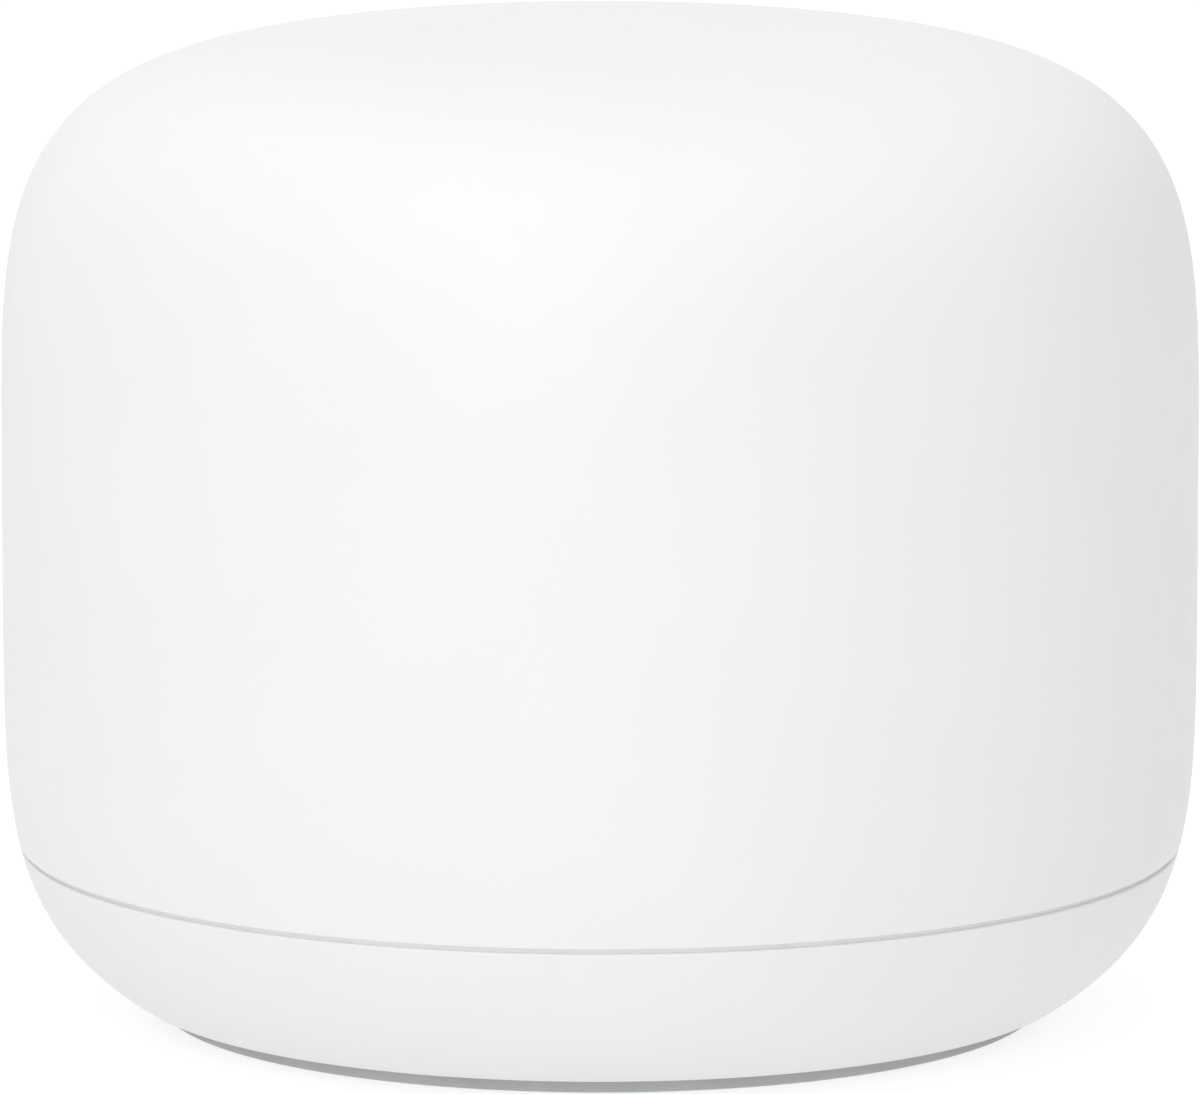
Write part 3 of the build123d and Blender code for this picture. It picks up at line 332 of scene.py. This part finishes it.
def piece(name, mesh, slots):
    """A finished mesh becomes a piece that rides on the router and wears the record's finishes."""
    made = bpy.data.objects.new(name, mesh)
    scene.collection.objects.link(made)
    for slot in slots:
        mesh.materials.append(FINISHES[slot].material)
    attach(made, "router_body")
    return made


def mesh_of(name, shape):
    """Turns a bmesh into smooth-shaded mesh data with its sharp edges kept."""
    mesh = bpy.data.meshes.new(name)
    bmesh.ops.recalc_face_normals(shape, faces=shape.faces)
    shape.to_mesh(mesh)
    shape.free()
    mesh.shade_smooth()
    mesh.set_sharp_from_angle(angle=math.radians(35))
    return mesh


def small_block(shape, centre, size, turn, material_index):
    """Adds a block with softened edges to a shape."""
    place = Matrix.Translation(centre) @ Matrix.Rotation(turn, 4, "Z") @ Matrix.Diagonal((*size, 1))
    verts = bmesh.ops.create_cube(shape, size=1.0, matrix=place)["verts"]
    edges = list({edge for vert in verts for edge in vert.link_edges})
    softening = 0.05 * MM
    rounded = bmesh.ops.bevel(
        shape, geom=edges, offset=softening, segments=2, profile=0.6, affect="EDGES"
    )
    for face in {face for vert in rounded["verts"] for face in vert.link_faces}:
        face.material_index = material_index


def free_on_board(graph, x, y, board_top, reach):
    """True where the board is bare and nothing stands within reach of the place."""
    headroom = 1.3 * MM
    depth = 0.3 * MM
    for i in (-1, 0, 1):
        for j in (-1, 0, 1):
            at = Vector((x + i * reach, y + j * reach, board_top + 0.1 * MM))
            blocked = scene.ray_cast(graph, at, Vector((0, 0, 1)), distance=headroom)[0]
            bare = scene.ray_cast(graph, at, Vector((0, 0, -1)), distance=depth)[0]
            if blocked or not bare:
                return False
    return True


def board_passives():
    """Small resistors and capacitors in the bare areas of the main board."""
    pitch = 3.1 * MM
    half_count = 13
    drift = 0.4
    edge_margin = 2.2 * MM
    clearance = 0.8 * MM
    height = 0.25 * MM
    body_size = (0.60 * MM, 0.46 * MM, 0.44 * MM)
    end_size = (0.24 * MM, 0.50 * MM, 0.48 * MM)
    end_offset = 0.38 * MM

    low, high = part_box("main_board")
    graph = bpy.context.evaluated_depsgraph_get()
    random.seed(7)
    shape = bmesh.new()
    for row in range(-half_count, half_count + 1):
        for column in range(-half_count, half_count + 1):
            x = (column + 0.5 * (row % 2)) * pitch + random.uniform(-drift, drift) * MM
            y = row * pitch + random.uniform(-drift, drift) * MM
            if math.hypot(x, y) > high.x - edge_margin:
                continue
            if not free_on_board(graph, x, y, high.z, clearance):
                continue
            turn = random.choice((0, math.pi / 2))
            along = Vector((math.cos(turn), math.sin(turn), 0))
            centre = Vector((x, y, high.z + height))
            small_block(shape, centre, body_size, turn, 0)
            for side in (-1, 1):
                small_block(shape, centre + along * side * end_offset, end_size, turn, 1)
    mesh = mesh_of("board_passives", shape)
    return piece("board_passives", mesh, ["ferrite_composite", "tinned_shield"])


def antenna_solder():
    """A solder blob where each coaxial lead meets its antenna."""
    radius = 0.75 * MM
    half_height = 1.1 * MM
    set_back = 0.35 * MM
    lumpiness = 0.12
    tip_depth = 0.05 * MM

    shape = bmesh.new()
    for name in frame["nodes"]:
        if not name.startswith("coax_lead"):
            continue
        low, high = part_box(name)
        mid = (low + high) / 2
        reach_x = max(abs(low.x), abs(high.x))
        reach_y = max(abs(low.y), abs(high.y))
        outward = Vector((math.copysign(reach_x, mid.x), math.copysign(reach_y, mid.y), 0))
        outward.normalize()
        lead = frame["nodes"][name].data
        tip = [vert.co for vert in lead.vertices if vert.co.z > high.z - tip_depth]
        centre = sum(tip, Vector()) / len(tip)
        size = Matrix.Diagonal((radius, radius, half_height, 1))
        place = Matrix.Translation(centre - outward * set_back) @ size
        blob = bmesh.ops.create_icosphere(shape, subdivisions=3, radius=1.0, matrix=place)
        for vert in blob["verts"]:
            away = vert.co - centre
            vert.co += away * lumpiness * math.sin(away.z / MM * 5 + away.x / MM * 3)
    return piece("antenna_solder", mesh_of("antenna_solder", shape), ["tinned_shield"])


def ground_tabs():
    """Bowed spring tabs inside the mouth of each network socket, two to a side."""
    thickness = 0.2 * MM
    height = 1.8 * MM
    length = 5.0 * MM
    set_back = 0.5 * MM
    bow_depth = 0.5 * MM
    half_gap = 5.72 * MM
    heights_above_floor = (3.2 * MM, 6.2 * MM)
    steps = 12

    shape = bmesh.new()
    for name in ("wan_jack_shell", "lan_jack_shell"):
        low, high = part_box(name)
        middle = (low.x + high.x) / 2
        for side in (-1, 1):
            for above_floor in heights_above_floor:
                low_z = low.z + above_floor
                top_z = low_z + height
                rows = []
                for k in range(steps + 1):
                    share = k / steps
                    y = high.y - set_back - share * length
                    inner = middle + side * (half_gap - bow_depth * math.sin(math.pi * share))
                    outer = inner + side * thickness
                    corners = ((inner, low_z), (outer, low_z), (outer, top_z), (inner, top_z))
                    rows.append([shape.verts.new((x, y, z)) for x, z in corners])
                for a, b in zip(rows, rows[1:]):
                    for i in range(4):
                        shape.faces.new((a[i], a[(i + 1) % 4], b[(i + 1) % 4], b[i]))
                shape.faces.new(rows[0])
                shape.faces.new(rows[-1])
    return piece("jack_ground_tabs", mesh_of("jack_ground_tabs", shape), ["jack_shell_steel"])


board_passives()
antenna_solder()
ground_tabs()

# ---------------------------------------------------------------- table, light and camera

FLOOR_RADIUS = 40.0
FLOOR_DROP = 0.02 * MM

floor_mesh = bpy.data.meshes.new("floor")
floor_shape = bmesh.new()
bmesh.ops.create_circle(floor_shape, cap_ends=True, segments=96, radius=FLOOR_RADIUS)
floor_shape.to_mesh(floor_mesh)
floor_shape.free()
floor = bpy.data.objects.new("floor", floor_mesh)
scene.collection.objects.link(floor)
floor.location.z = -FLOOR_DROP

# The table glows a little, so the router hardly shades it and it shows as plain white.
table = Finish("light_table", Emission_Strength=0.754)
table.shader.inputs["Emission Color"].default_value = (1, 1, 1, 1)
table.colour(table.blend(table.noise(0.3, 3), (0.24, 0.24, 0.24), (0.26, 0.26, 0.26)))
table.roughness(table.noise(0.05, 3), 0.8, 0.9)
floor_mesh.materials.append(table.material)


def studio_world(lobes):
    """A soft light all round, built from broad lobes: (direction, how narrow it is, strength)."""
    world = bpy.data.worlds.new("studio")
    scene.world = world
    world.use_nodes = True
    nodes, links = world.node_tree.nodes, world.node_tree.links
    outward = nodes.new("ShaderNodeTexCoord").outputs["Generated"]
    total = None
    for direction, power, strength in lobes:
        facing = nodes.new("ShaderNodeVectorMath")
        facing.operation = "DOT_PRODUCT"
        facing.inputs[1].default_value = Vector(direction).normalized()
        links.new(outward, facing.inputs[0])
        lit = nodes.new("ShaderNodeMath")
        lit.operation = "MAXIMUM"
        lit.inputs[1].default_value = 0.0
        links.new(facing.outputs["Value"], lit.inputs[0])
        lobe = nodes.new("ShaderNodeMath")
        lobe.operation = "POWER"
        lobe.inputs[1].default_value = power
        links.new(lit.outputs[0], lobe.inputs[0])
        added = nodes.new("ShaderNodeMath")
        added.operation = "MULTIPLY_ADD"
        added.inputs[1].default_value = strength
        added.inputs[2].default_value = 0.0
        links.new(lobe.outputs[0], added.inputs[0])
        if total:
            links.new(total, added.inputs[2])
        total = added.outputs[0]
    links.new(total, nodes["Background"].inputs["Strength"])
    nodes["Background"].inputs["Color"].default_value = (1, 1, 1, 1)


studio_world(
    [
        ((0, 0, 1), 2, 1.244),
        ((1, 0, 0), 2, 0.600),
        ((-1, 0, 0), 2, 0.500),
        ((0, 1, 0), 2, 0.890),
        ((-1, 1, 0), 6, 0.414),
    ]
)


MIDDLE_HEIGHT = 0.045


def softbox(name, azimuth, elevation, distance, size, power):
    """A round soft light aimed at the router. Azimuth 0 is in front of it and 90 on its right."""
    light = bpy.data.lights.new(name, "AREA")
    light.shape = "DISK"
    light.size = size
    light.energy = power
    lamp = bpy.data.objects.new(name, light)
    scene.collection.objects.link(lamp)
    around, up = math.radians(azimuth), math.radians(elevation)
    away = Vector((math.sin(around) * math.cos(up), -math.cos(around) * math.cos(up), math.sin(up)))
    lamp.location = away * distance + Vector((0, 0, MIDDLE_HEIGHT))
    lamp.rotation_mode = "QUATERNION"
    lamp.rotation_quaternion = away.to_track_quat("Z", "Y")
    lamp.visible_camera = False


softbox("key_light", -30, 45, 1.2, 0.9, 2.03)
softbox("top_light", -10, 75, 1.3, 1.0, 1.36)
softbox("front_light", -12, 15, 1.5, 1.3, 8.00)
softbox("fill_light", 25, 25, 1.4, 0.8, 0.70)

AIM = Vector((0, 0, 42.7 * MM))
DISTANCE = 1.120
ELEVATION = math.radians(9.5)

lens = bpy.data.cameras.new("camera")
lens.sensor_width = 36.0
lens.lens = 364.8
lens.clip_start = 0.05
lens.clip_end = 100.0
camera = bpy.data.objects.new("camera", lens)
scene.collection.objects.link(camera)
back = Vector((0, -math.cos(ELEVATION), math.sin(ELEVATION)))
camera.location = AIM + back * DISTANCE
camera.rotation_mode = "QUATERNION"
camera.rotation_quaternion = (-back).to_track_quat("-Z", "Y")
scene.camera = camera

scene.view_settings.view_transform = "Standard"
